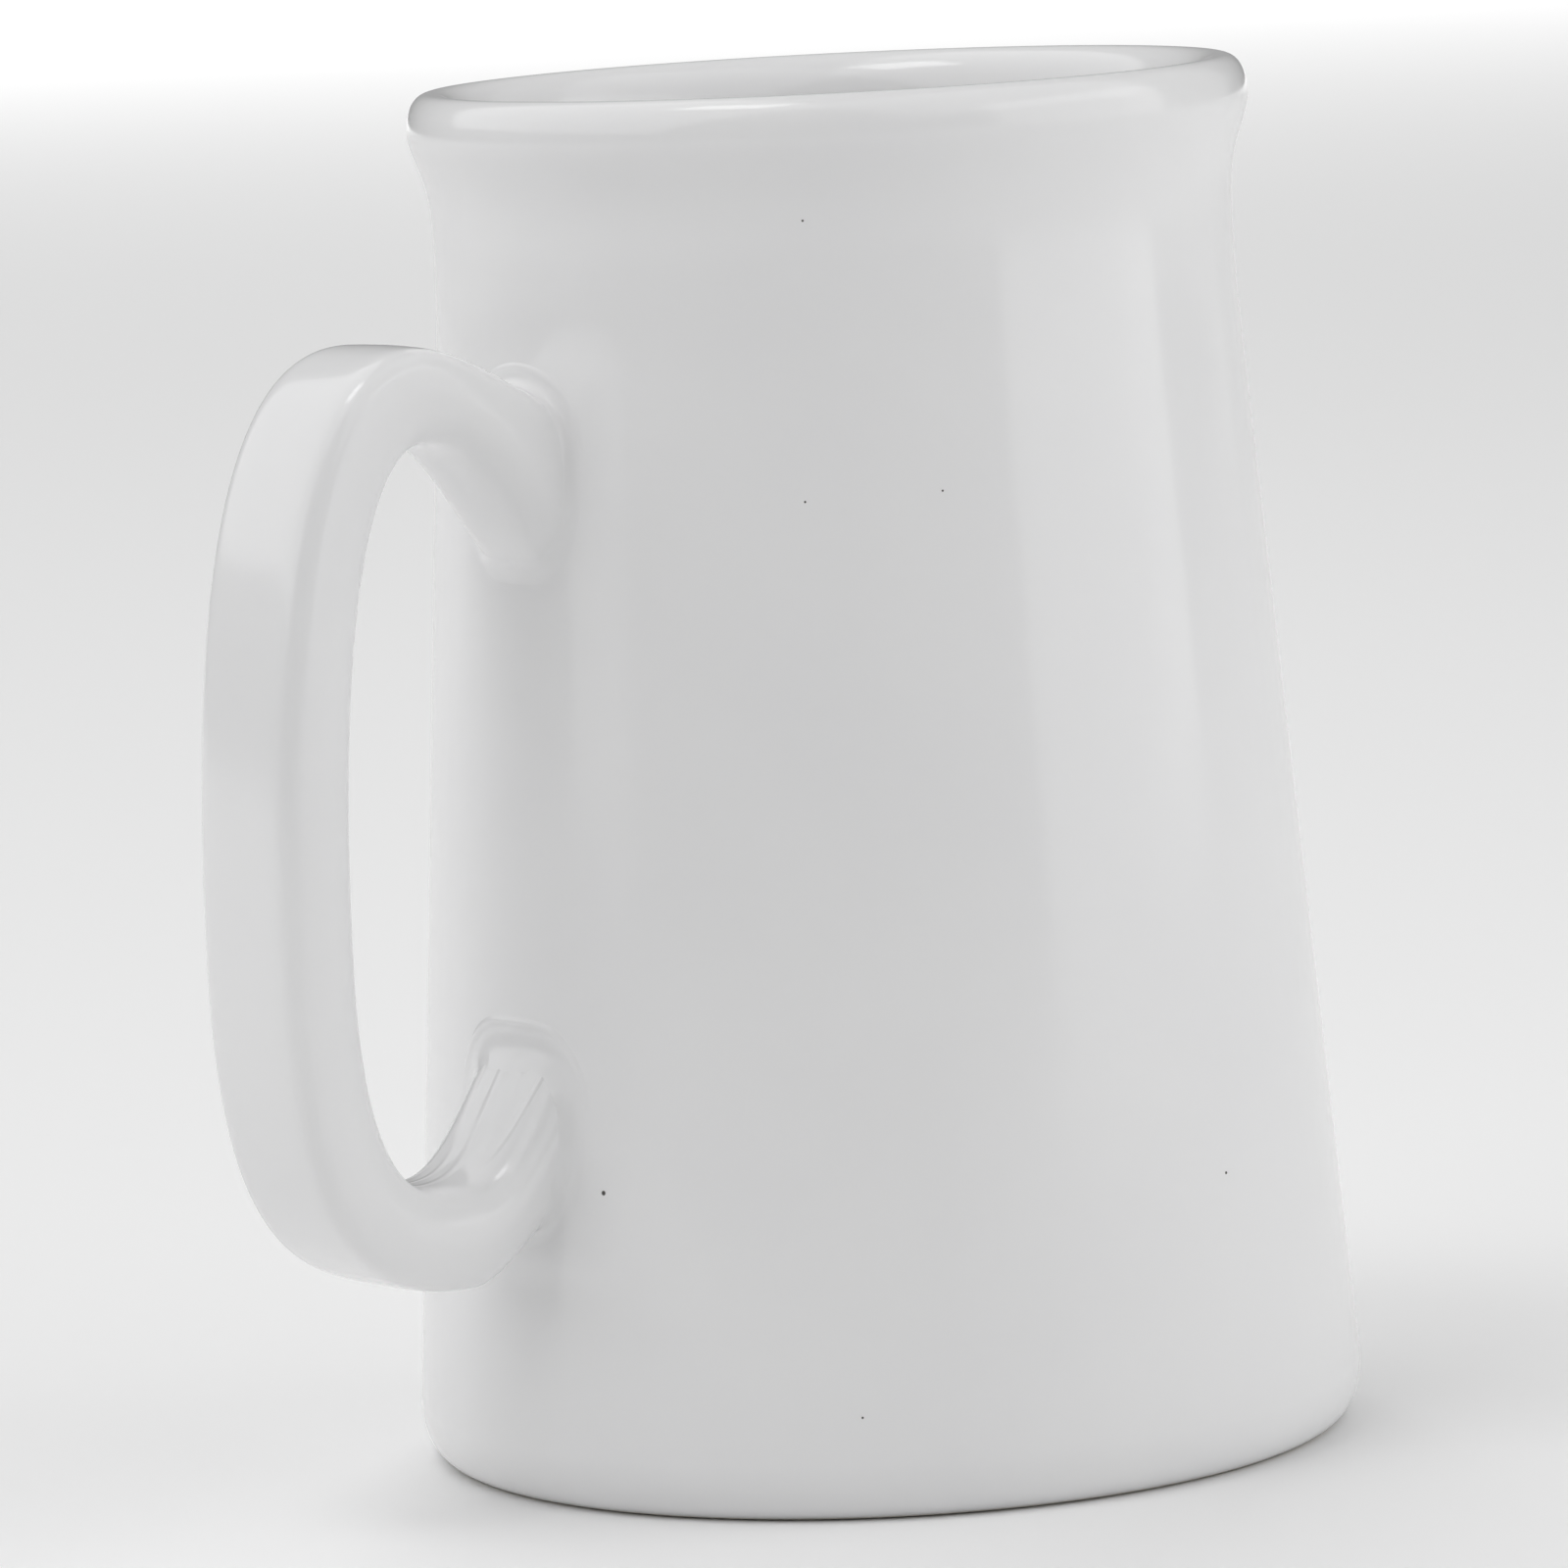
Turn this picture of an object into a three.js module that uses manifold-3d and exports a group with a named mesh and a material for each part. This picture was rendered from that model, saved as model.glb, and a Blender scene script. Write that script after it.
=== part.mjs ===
// A slip-cast, glazed ceramic shaving mug: a tapered cup with a flared lip, and a cast C-shaped
// handle luted to it with two pads of slip. Millimetres, +Z up, the table at z = 0, and the handle
// on the -X side. The origin is the bottom centre of the whole mug's bounding box.
import * as THREE from "three";
import { mergeVertices } from "three/addons/utils/BufferGeometryUtils.js";
import Module from "manifold-3d";

// Cup
const HEIGHT = 127; // table to the crest of the lip
const BASE_RADIUS = 44.3; // the straight side carried down to the table
const NECK_RADIUS = 37; // where the straight side ends and the flare starts
const NECK_DROP = 21; // that place, below the crest
const FLARE = 1.4; // how far the flare leaves the line of the side, at the start of the lip
const FLARE_POWER = 1.5; // how late the flare leaves it
const LIP_RADIUS = 38.8; // widest point of the lip
const LIP_DROP = 5.4; // that point, below the crest
const LIP_START_DROP = 8; // where the flare runs into the lip, below the crest
const WALL = 4.5; // wall thickness, square to the axis
const FLOOR = 7; // table to the top of the inside floor
const FLOOR_CORNER = 9; // radius between the floor and the inside wall
const BASE_CORNER_WIDTH = 3.5; // rounding under the side, across
const BASE_CORNER_HEIGHT = 5.5; // and up
const RECESS_RADIUS = 34; // hollow under the base, inside the ring that it stands on
const RECESS_DEPTH = 1.6;
const RECESS_SLOPE = 1.6; // how far the hollow's wall leans in

// Handle
const STRAP_WIDTH = 15; // along Y
const STRAP_THICKNESS = 8.2; // across the strap at the belly
const ARM_THICKNESS = 9.2; // across the arms at the highest and the lowest point
const STRAP_EDGE = 3; // rounding of the strap's edges
const FINGER_GAP = 21.7; // cup's side to the strap's inner face, at the belly
const BELLY_HEIGHT = 30; // the furthest point from the cup, above the handle's lowest point
const HANDLE_DROP = 20.5; // highest point of the handle, below the crest of the lip
const HANDLE_RISE = 21.7; // lowest point of the handle, above the table
const CROWN_REACH = 15; // highest point, out from the cup's side
const SOLE_REACH = 9.2; // lowest point, out from the cup's side
const UPPER_ROOT_TOP = 5.2; // top of the upper root, below the handle's highest point
const UPPER_ROOT_SPAN = 17; // height of the upper root on the cup's side
const LOWER_ROOT_BOTTOM = 3.5; // bottom of the lower root, above the handle's lowest point
const LOWER_ROOT_SPAN = 20; // height of the lower root on the cup's side
const TOE_HEIGHT = 7; // straight stretch of the inside below the lower root's top
const TOE_REACH = 3; // the lower end of that stretch, out from the cup's side
const ROOT_DEPTH = 10; // how far the handle's outline runs into the cup before it is trimmed

// Slip pads
const SLIP_THICKNESS = 0.8; // slip left between the handle's end and the cup
const SLIP_SPREAD = 1.2; // slip squeezed out around the handle's end
const JOINT_GAP = 0.3; // clear space between touching pieces

// Fineness of the curved surfaces
const TURNS = 72; // flats round the cup
const CURVE_STEPS = 8; // chords in each curved stretch of an outline
const EDGE_STEPS = 3; // chords in a rounded edge

// How far a curve's control points reach, as a share of its span: for a round quarter, and for
// the quicker turns at the handle's two shoulders.
const ROUND = 0.57;
const TURN = 0.66;

// Stretches of the handle's outline: where each one's two control points stand, from the end that
// they belong to, as shares of its span across and up.
const SHOULDER = { leave: [TURN, 0], arrive: [0, ROUND] }; // from an arm into the belly
const BELLY = { leave: [0, ROUND], arrive: [TURN, 0] }; // from the belly into an arm
const UPPER_BACK = { leave: [0.3, 0.33], arrive: [0.4, 0] }; // upper root to the highest point
const LOWER_BACK = { leave: [0.43, 0], arrive: [0.33, 0.57] }; // lowest point to the lower root
const LOWER_INSIDE = { leave: [0.2, 0.41], arrive: [0.55, 0] }; // toe to the lower arm's inside
const UPPER_INSIDE = { leave: [0.59, 0], arrive: [0.3, 0.19] }; // the upper arm's inside to its root

// Heights that follow from the sizes above
const NECK_Z = HEIGHT - NECK_DROP;
const LIP_START_Z = HEIGHT - LIP_START_DROP;
const LIP_Z = HEIGHT - LIP_DROP;
const HANDLE_TOP = HEIGHT - HANDLE_DROP;
const BELLY_Z = HANDLE_RISE + BELLY_HEIGHT;
const UPPER_ROOT = {
  top: HANDLE_TOP - UPPER_ROOT_TOP,
  bottom: HANDLE_TOP - UPPER_ROOT_TOP - UPPER_ROOT_SPAN,
};
const LOWER_ROOT = {
  top: HANDLE_RISE + LOWER_ROOT_BOTTOM + LOWER_ROOT_SPAN,
  bottom: HANDLE_RISE + LOWER_ROOT_BOTTOM,
};

const wasm = await Module();
wasm.setup();

// Outer radius of the cup's side, from above the base's rounding up to the start of the lip: a
// straight taper, and above the neck a curve that leaves it.
function sideRadius(z) {
  const taper = BASE_RADIUS - ((BASE_RADIUS - NECK_RADIUS) * z) / NECK_Z;
  const rise = Math.max(0, z - NECK_Z) / (LIP_START_Z - NECK_Z);
  return taper + FLARE * rise ** FLARE_POWER;
}

// Points up the flare from the neck to the start of the lip, a distance in from the cup's side.
function flarePoints(inset) {
  return Array.from({ length: CURVE_STEPS + 1 }, (_, i) => {
    const z = NECK_Z + ((LIP_START_Z - NECK_Z) * i) / CURVE_STEPS;
    return new THREE.Vector2(sideRadius(z) - inset, z);
  });
}

// Closed outline of half the cup, from the axis under the base, up the outside, over the lip and
// down the inside to the axis again.
function cupOutline() {
  const outline = new THREE.Path();
  const lineThrough = (points) => points.forEach((p) => outline.lineTo(p.x, p.y));
  const corner = sideRadius(BASE_CORNER_HEIGHT);
  const standing = corner - BASE_CORNER_WIDTH;
  outline.moveTo(0, RECESS_DEPTH);
  outline.lineTo(RECESS_RADIUS - RECESS_SLOPE, RECESS_DEPTH);
  outline.lineTo(RECESS_RADIUS, 0);
  outline.lineTo(standing, 0);
  outline.bezierCurveTo(
    standing + BASE_CORNER_WIDTH * ROUND, 0,
    corner, BASE_CORNER_HEIGHT * (1 - ROUND),
    corner, BASE_CORNER_HEIGHT,
  );
  lineThrough(flarePoints(0));
  const crest = LIP_RADIUS - WALL / 2;
  const mouth = sideRadius(LIP_START_Z) - WALL;
  outline.quadraticCurveTo(LIP_RADIUS, (LIP_START_Z + LIP_Z) / 2, LIP_RADIUS, LIP_Z);
  outline.bezierCurveTo(
    LIP_RADIUS, LIP_Z + LIP_DROP * ROUND,
    crest + (LIP_RADIUS - crest) * ROUND, HEIGHT,
    crest, HEIGHT,
  );
  outline.bezierCurveTo(
    crest - (crest - mouth) * ROUND, HEIGHT,
    mouth, HEIGHT - LIP_START_DROP * (1 - ROUND),
    mouth, LIP_START_Z,
  );
  lineThrough(flarePoints(WALL).reverse());
  const wallFoot = sideRadius(FLOOR + FLOOR_CORNER) - WALL;
  outline.lineTo(wallFoot, FLOOR + FLOOR_CORNER);
  outline.quadraticCurveTo(wallFoot, FLOOR, wallFoot - FLOOR_CORNER, FLOOR);
  outline.lineTo(0, FLOOR);
  return outline.getPoints(CURVE_STEPS);
}

// An outline turned round the Z axis.
function turned(points) {
  return new THREE.LatheGeometry(points, TURNS).rotateX(Math.PI / 2);
}

// A solid round core, larger than the cup's side by a clearance, from the table to the lip. The
// handle and its slip are trimmed against it.
function core(clearance) {
  const bottom = new THREE.Vector2(0, 0);
  const foot = new THREE.Vector2(sideRadius(0) + clearance, 0);
  const top = new THREE.Vector2(0, LIP_START_Z);
  return solid(turned([bottom, foot, ...flarePoints(-clearance), top]));
}

// A point on the cup's side at a height, moved out from it by a distance.
function sidePoint(z, out = 0) {
  return new THREE.Vector2(sideRadius(z) + out, z);
}

// Outline of the handle seen from its side, x out from the cup's axis and y up: along the outside
// from the upper root to the lower one, and back along the inside. At the roots it runs straight on
// into the cup, where it is trimmed.
function handleOutline() {
  const inner = new THREE.Vector2(sideRadius(BELLY_Z) + FINGER_GAP, BELLY_Z);
  const outer = new THREE.Vector2(inner.x + STRAP_THICKNESS, BELLY_Z);
  const crown = sidePoint(HANDLE_TOP, CROWN_REACH);
  const crownInside = new THREE.Vector2(crown.x, crown.y - ARM_THICKNESS);
  const sole = sidePoint(HANDLE_RISE, SOLE_REACH);
  const soleInside = new THREE.Vector2(sole.x, sole.y + ARM_THICKNESS);
  const toe = sidePoint(LOWER_ROOT.top - TOE_HEIGHT, TOE_REACH);
  const buriedX = sideRadius(UPPER_ROOT.top) - ROOT_DEPTH;

  const shape = new THREE.Shape();
  const straight = (to) => shape.lineTo(to.x, to.y);
  const bend = ({ leave, arrive }, to) => {
    const from = shape.currentPoint.clone();
    const span = to.clone().sub(from);
    shape.bezierCurveTo(
      from.x + span.x * leave[0], from.y + span.y * leave[1],
      to.x - span.x * arrive[0], to.y - span.y * arrive[1],
      to.x, to.y,
    );
  };
  shape.moveTo(buriedX, UPPER_ROOT.top);
  straight(sidePoint(UPPER_ROOT.top));
  bend(UPPER_BACK, crown);
  bend(SHOULDER, outer);
  bend(BELLY, sole);
  bend(LOWER_BACK, sidePoint(LOWER_ROOT.bottom));
  shape.lineTo(buriedX, LOWER_ROOT.bottom);
  shape.lineTo(buriedX, LOWER_ROOT.top);
  straight(sidePoint(LOWER_ROOT.top));
  straight(toe);
  bend(LOWER_INSIDE, soleInside);
  bend(SHOULDER, inner);
  bend(BELLY, crownInside);
  bend(UPPER_INSIDE, sidePoint(UPPER_ROOT.bottom));
  shape.lineTo(buriedX, UPPER_ROOT.bottom);
  return shape;
}

// A shape drawn in the XZ plane, given thickness along Y about that plane with rounded edges, and
// turned so that its x runs out along -X.
function strap(shape) {
  const geometry = new THREE.ExtrudeGeometry(shape, {
    depth: STRAP_WIDTH - 2 * STRAP_EDGE,
    curveSegments: CURVE_STEPS,
    bevelThickness: STRAP_EDGE,
    bevelSize: STRAP_EDGE,
    bevelOffset: -STRAP_EDGE,
    bevelSegments: EDGE_STEPS,
  });
  geometry.translate(0, 0, STRAP_EDGE - STRAP_WIDTH / 2);
  return geometry.rotateX(Math.PI / 2).rotateZ(Math.PI);
}

// The handle, trimmed to the cup's round side with room for the slip.
function handleGeometry() {
  const clearance = JOINT_GAP + SLIP_THICKNESS + JOINT_GAP;
  return geometryOf(solid(strap(handleOutline())).subtract(core(clearance)));
}

// The pad of slip between a root of the handle and the cup: the root's rounded rectangle, a little
// larger all round, in a thin shell that follows the cup's side.
function slipGeometry(root) {
  const halfWidth = STRAP_WIDTH / 2 + SLIP_SPREAD;
  const bottom = root.bottom - SLIP_SPREAD;
  const top = root.top + SLIP_SPREAD;
  const radius = STRAP_EDGE + SLIP_SPREAD;
  const shape = new THREE.Shape();
  shape.absarc(halfWidth - radius, top - radius, radius, 0, Math.PI / 2);
  shape.absarc(radius - halfWidth, top - radius, radius, Math.PI / 2, Math.PI);
  shape.absarc(radius - halfWidth, bottom + radius, radius, Math.PI, 1.5 * Math.PI);
  shape.absarc(halfWidth - radius, bottom + radius, radius, 1.5 * Math.PI, 2 * Math.PI);
  const block = new THREE.ExtrudeGeometry(shape, {
    depth: BASE_RADIUS * 2,
    curveSegments: CURVE_STEPS,
    bevelEnabled: false,
  });
  block.rotateX(Math.PI / 2).rotateZ(-Math.PI / 2);
  const shell = core(JOINT_GAP + SLIP_THICKNESS).subtract(core(JOINT_GAP));
  return geometryOf(solid(block).intersect(shell));
}

// A closed geometry as a solid that can be cut.
function solid(geometry) {
  const bare = geometry.clone();
  bare.deleteAttribute("normal");
  bare.deleteAttribute("uv");
  const merged = mergeVertices(bare, 1e-4);
  return new wasm.Manifold(new wasm.Mesh({
    numProp: 3,
    vertProperties: merged.attributes.position.array,
    triVerts: merged.index.array,
  }));
}

// A cut solid as a geometry again.
function geometryOf(body) {
  const { vertProperties, triVerts } = body.getMesh();
  const geometry = new THREE.BufferGeometry();
  geometry.setAttribute("position", new THREE.BufferAttribute(vertProperties, 3));
  geometry.setIndex(new THREE.BufferAttribute(triVerts, 1));
  geometry.computeVertexNormals();
  return geometry;
}

// A named piece of the mug in its own glaze-white material.
function piece(name, geometry, color) {
  const material = new THREE.MeshStandardMaterial({ color, roughness: 0.12, metalness: 0 });
  const mesh = new THREE.Mesh(geometry, material);
  mesh.name = name;
  return mesh;
}

const mug = new THREE.Group();
mug.add(
  piece("cup_body", turned(cupOutline()), 0xf1f0ee),
  piece("handle", handleGeometry(), 0xf2f1ef),
  piece("upper_slip_joint", slipGeometry(UPPER_ROOT), 0xecebe8),
  piece("lower_slip_joint", slipGeometry(LOWER_ROOT), 0xecebe8),
);

// The cup's axis stands off the origin, so that the whole mug is centred over it.
mug.position.x = -new THREE.Box3().setFromObject(mug).getCenter(new THREE.Vector3()).x;

export default mug;
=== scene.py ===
import logging
import math
from dataclasses import dataclass, field
from enum import Enum

import bmesh
import bpy
from mathutils import Matrix, Vector
from mathutils.bvhtree import BVHTree


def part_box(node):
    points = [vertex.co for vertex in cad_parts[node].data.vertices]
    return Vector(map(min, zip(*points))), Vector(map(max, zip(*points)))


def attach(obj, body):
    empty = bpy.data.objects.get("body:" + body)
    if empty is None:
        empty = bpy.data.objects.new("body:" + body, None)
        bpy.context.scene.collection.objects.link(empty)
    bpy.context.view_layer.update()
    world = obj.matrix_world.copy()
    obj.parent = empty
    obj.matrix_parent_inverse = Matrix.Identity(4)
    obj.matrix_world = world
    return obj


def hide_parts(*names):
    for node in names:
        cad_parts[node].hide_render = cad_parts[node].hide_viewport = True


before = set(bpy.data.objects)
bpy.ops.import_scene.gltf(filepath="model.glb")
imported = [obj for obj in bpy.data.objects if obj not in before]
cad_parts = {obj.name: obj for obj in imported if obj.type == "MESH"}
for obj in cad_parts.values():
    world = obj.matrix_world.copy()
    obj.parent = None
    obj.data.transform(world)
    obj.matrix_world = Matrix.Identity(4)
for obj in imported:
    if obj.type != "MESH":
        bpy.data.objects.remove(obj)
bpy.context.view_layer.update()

MM = 0.001

log = logging.getLogger("mug")


# ---------------------------------------------------------------- small helpers


def linear(hex_code: str) -> tuple[float, float, float, float]:
    """Turn an sRGB hex colour into linear RGBA.

    Args:
        hex_code: the colour, such as "#F4F3F0".

    Returns:
        The linear red, green, blue and an alpha of 1.
    """
    channels = [int(hex_code[i : i + 2], 16) / 255 for i in (1, 3, 5)]
    lin = [c / 12.92 if c <= 0.04045 else ((c + 0.055) / 1.055) ** 2.4 for c in channels]
    return (lin[0], lin[1], lin[2], 1.0)


def add_node(
    tree: bpy.types.NodeTree,
    kind: str,
    links: dict[str | int, bpy.types.NodeSocket] | None = None,
    **settings: object,
) -> bpy.types.Node:
    """Add a node with its settings and links.

    Args:
        tree: the node tree that takes the node.
        kind: the node's type, without "ShaderNode" in front.
        links: the sockets that feed its inputs, by input name or number.
        settings: its properties, and the values of its unlinked inputs as in_NAME or in_NUMBER,
            with spaces in a name written as underscores.

    Returns:
        The new node.
    """
    made = tree.nodes.new("ShaderNode" + kind)
    for name, value in settings.items():
        if name.startswith("in_"):
            key = name[3:]
            made.inputs[int(key) if key.isdigit() else key.replace("_", " ")].default_value = value
        else:
            setattr(made, name, value)
    for key, source in (links or {}).items():
        tree.links.new(source, made.inputs[key])
    return made


def deselect_all() -> None:
    """Leave nothing selected, in object mode."""
    if bpy.context.object and bpy.context.object.mode != "OBJECT":
        bpy.ops.object.mode_set(mode="OBJECT")
    bpy.ops.object.select_all(action="DESELECT")


def newest(name: str) -> bpy.types.Object:
    """Name the object that an operator has just made, and its mesh.

    Args:
        name: the name for both.

    Returns:
        The object.
    """
    obj = bpy.context.object
    obj.name = obj.data.name = name
    return obj


def settle(obj: bpy.types.Object) -> None:
    """Put an object's place, turn and scale into its mesh, so that it sits at the origin.

    Args:
        obj: the finished piece.
    """
    deselect_all()
    obj.select_set(True)
    bpy.context.view_layer.objects.active = obj
    bpy.ops.object.transform_apply(location=True, rotation=True, scale=True)


def apply_modifier(obj: bpy.types.Object, kind: str, **settings: object) -> None:
    """Add a modifier with its settings and apply it to the mesh.

    Args:
        obj: the object that takes it.
        kind: the modifier's type, such as "SUBSURF".
        settings: its properties.
    """
    modifier = obj.modifiers.new(kind.title(), kind)
    for name, value in settings.items():
        setattr(modifier, name, value)
    bpy.context.view_layer.objects.active = obj
    bpy.ops.object.modifier_apply(modifier=modifier.name)


def bezier(points: list[Vector], steps: int) -> list[Vector]:
    """Points along a cubic curve, without its first point.

    Args:
        points: the start, the two control points and the end.
        steps: how many points to give.

    Returns:
        The points, the last one at the curve's end.
    """
    a, b, c, d = points
    out = []
    for i in range(1, steps + 1):
        t = i / steps
        s = 1 - t
        out.append(a * s**3 + b * (3 * s * s * t) + c * (3 * s * t * t) + d * t**3)
    return out


def flat(x: float, z: float) -> Vector:
    """A point in the plane of an outline: x out from the cup's axis, z up, in millimetres."""
    return Vector((x, 0.0, z))


# ---------------------------------------------------------------- finishes


@dataclass(frozen=True)
class WhiteGlaze:
    """Opaque white glaze, dipped and fired glossy over a white slip-cast body.

    To the eye it is a very even, neutral white under a hard clear gloss, with a slow rise and fall
    of the coat that only the reflections show, and a few specks from the kiln.
    """

    name: str
    thick: str = "#F1F1F1"  # where the coat is full
    thin: str = "#EBEBEC"  # where it ran thin and the body shows through
    speck: str = "#4A4743"  # iron specks and open pinholes
    ior: float = 1.52  # a soda-lime glaze
    roughness: float = 0.13
    cloud: float = 24.0  # mm, from one thick patch to the next
    ripple: float = 7.0  # mm, the coat's slow unevenness, which bends reflections
    ripple_height: float = 0.02  # mm
    speck_spacing: float = 13.0  # mm, between the places where a speck may be
    speck_share: float = 0.05  # how many of them have one
    speck_radius: float = 0.16  # mm; real ones are under 0.1, drawn coarser so that they show
    speck_depth: float = 0.05  # mm
    pinholes: tuple[tuple[float, float, float, float], ...] = ()  # x, y, z and radius, mm
    streaks: tuple[float, float, float] | None = None  # where a brush left streaks, mm
    streak_spread: float = 15.0  # mm, how far the streaks go from there
    streak_spacing: float = 3.2  # mm, across the strap
    streak_comb: float = 0.14  # the spacing across, as a share of the spacing along it
    streak_edge: float = 0.09  # how far the noise is off its middle where a streak ends
    streak_height: float = 0.09  # mm
    bare: str = "#E6E1D8"  # the fired body where the glaze was wiped off
    bare_below: float | None = None  # mm above the table
    bare_fade: float = 1.5  # where the glaze is whole again, as a multiple of that height
    bare_roughness: float = 0.65

    def material(self) -> bpy.types.Material:
        """Build the glaze's node material.

        Returns:
            The material, on Object coordinates.
        """
        made = bpy.data.materials.new(self.name)
        made.use_nodes = True
        tree = made.node_tree
        tree.nodes.clear()
        place = add_node(tree, "TexCoord").outputs["Object"]
        specks = self.specks(tree, place)
        colour = add_node(
            tree, "Mix", {"Factor": specks, 6: self.coat(tree, place)},
            data_type="RGBA", in_7=linear(self.speck),
        ).outputs[2]
        normal = self.relief(tree, place, specks)
        if self.streaks:
            normal = self.brush_streaks(tree, place, normal)
        shader = add_node(
            tree, "BsdfPrincipled", {"Base Color": colour, "Normal": normal},
            in_IOR=self.ior, in_Roughness=self.roughness,
        )
        if self.bare_below is not None:
            self.wipe_foot(tree, place, colour, shader)
        add_node(tree, "OutputMaterial", {"Surface": shader.outputs[0]})
        return made

    def coat(
        self, tree: bpy.types.NodeTree, place: bpy.types.NodeSocket,
    ) -> bpy.types.NodeSocket:
        """Mix the full glaze and the thin one in slow patches.

        Args:
            tree: the material's tree.
            place: the Object coordinates.

        Returns:
            The coat's colour.
        """
        cloud = add_node(
            tree, "TexNoise", {"Vector": place},
            in_Scale=1 / (self.cloud * MM), in_Detail=2.0, in_Roughness=0.5,
        ).outputs["Fac"]
        return add_node(
            tree, "Mix", {"Factor": cloud},
            data_type="RGBA", in_6=linear(self.thin), in_7=linear(self.thick),
        ).outputs[2]

    def specks(
        self, tree: bpy.types.NodeTree, place: bpy.types.NodeSocket,
    ) -> bpy.types.NodeSocket:
        """Scatter a few specks from the kiln, and set each pinhole in its place.

        Args:
            tree: the material's tree.
            place: the Object coordinates.

        Returns:
            A value that is 1 on a speck or a pinhole and 0 elsewhere.
        """
        cells = add_node(
            tree, "TexVoronoi", {"Vector": place},
            in_Scale=1 / (self.speck_spacing * MM), in_Randomness=1.0,
        )
        chance = add_node(tree, "SeparateColor", {"Color": cells.outputs["Color"]}).outputs["Red"]
        chosen = add_node(
            tree, "Math", {0: chance}, operation="LESS_THAN", in_1=self.speck_share,
        ).outputs[0]
        near = add_node(
            tree, "MapRange", {"Value": cells.outputs["Distance"]},
            interpolation_type="SMOOTHSTEP",
            in_From_Min=0.4 * self.speck_radius / self.speck_spacing,
            in_From_Max=self.speck_radius / self.speck_spacing,
            in_To_Min=1.0, in_To_Max=0.0,
        ).outputs[0]
        specks = add_node(tree, "Math", {0: chosen, 1: near}, operation="MULTIPLY").outputs[0]
        for x, y, z, radius in self.pinholes:
            away = add_node(
                tree, "VectorMath", {0: place},
                operation="DISTANCE", in_1=(x * MM, y * MM, z * MM),
            ).outputs["Value"]
            pinhole = add_node(
                tree, "MapRange", {"Value": away},
                interpolation_type="SMOOTHSTEP",
                in_From_Min=0.6 * radius * MM, in_From_Max=radius * MM,
                in_To_Min=1.0, in_To_Max=0.0,
            ).outputs[0]
            specks = add_node(tree, "Math", {0: specks, 1: pinhole}, operation="MAXIMUM").outputs[0]
        return specks

    def relief(
        self, tree: bpy.types.NodeTree, place: bpy.types.NodeSocket, specks: bpy.types.NodeSocket,
    ) -> bpy.types.NodeSocket:
        """Ripple the coat slowly, and sink the specks into it.

        Args:
            tree: the material's tree.
            place: the Object coordinates.
            specks: where the specks and pinholes are.

        Returns:
            The normal.
        """
        ripple = add_node(
            tree, "TexNoise", {"Vector": place},
            in_Scale=1 / (self.ripple * MM), in_Detail=1.0, in_Roughness=0.4,
        ).outputs["Fac"]
        waves = add_node(
            tree, "Bump", {"Height": ripple},
            in_Strength=1.0, in_Distance=self.ripple_height * MM,
        ).outputs[0]
        return add_node(
            tree, "Bump", {"Height": specks, "Normal": waves},
            invert=True, in_Strength=1.0, in_Distance=self.speck_depth * MM,
        ).outputs[0]

    def brush_streaks(
        self, tree: bpy.types.NodeTree, place: bpy.types.NodeSocket, normal: bpy.types.NodeSocket,
    ) -> bpy.types.NodeSocket:
        """Raise fine streaks along the strap, where a wet brush smoothed the joint.

        Args:
            tree: the material's tree.
            place: the Object coordinates.
            normal: the normal to add to.

        Returns:
            The new normal.
        """
        centre = tuple(value * MM for value in self.streaks)
        away = add_node(
            tree, "VectorMath", {0: place}, operation="DISTANCE", in_1=centre,
        ).outputs["Value"]
        near = add_node(
            tree, "MapRange", {"Value": away},
            interpolation_type="SMOOTHSTEP",
            in_From_Min=0.4 * self.streak_spread * MM, in_From_Max=self.streak_spread * MM,
            in_To_Min=1.0, in_To_Max=0.0,
        ).outputs[0]
        # Stretched along the strap, so that the noise reads as brush marks.
        combed = add_node(
            tree, "VectorMath", {0: place},
            operation="MULTIPLY", in_1=(self.streak_comb, 1.0, self.streak_comb),
        ).outputs[0]
        noise = add_node(
            tree, "TexNoise", {"Vector": combed},
            in_Scale=1 / (self.streak_spacing * MM), in_Detail=0.0,
        ).outputs["Fac"]
        # A thin line lies wherever the noise passes its middle value.
        side = add_node(tree, "Math", {0: noise}, operation="SUBTRACT", in_1=0.5).outputs[0]
        off_line = add_node(tree, "Math", {0: side}, operation="ABSOLUTE").outputs[0]
        marks = add_node(
            tree, "MapRange", {"Value": off_line},
            interpolation_type="SMOOTHSTEP",
            in_From_Min=0.0, in_From_Max=self.streak_edge, in_To_Min=1.0, in_To_Max=0.0,
        ).outputs[0]
        height = add_node(tree, "Math", {0: marks, 1: near}, operation="MULTIPLY").outputs[0]
        return add_node(
            tree, "Bump", {"Height": height, "Normal": normal},
            in_Strength=1.0, in_Distance=self.streak_height * MM,
        ).outputs[0]

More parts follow.
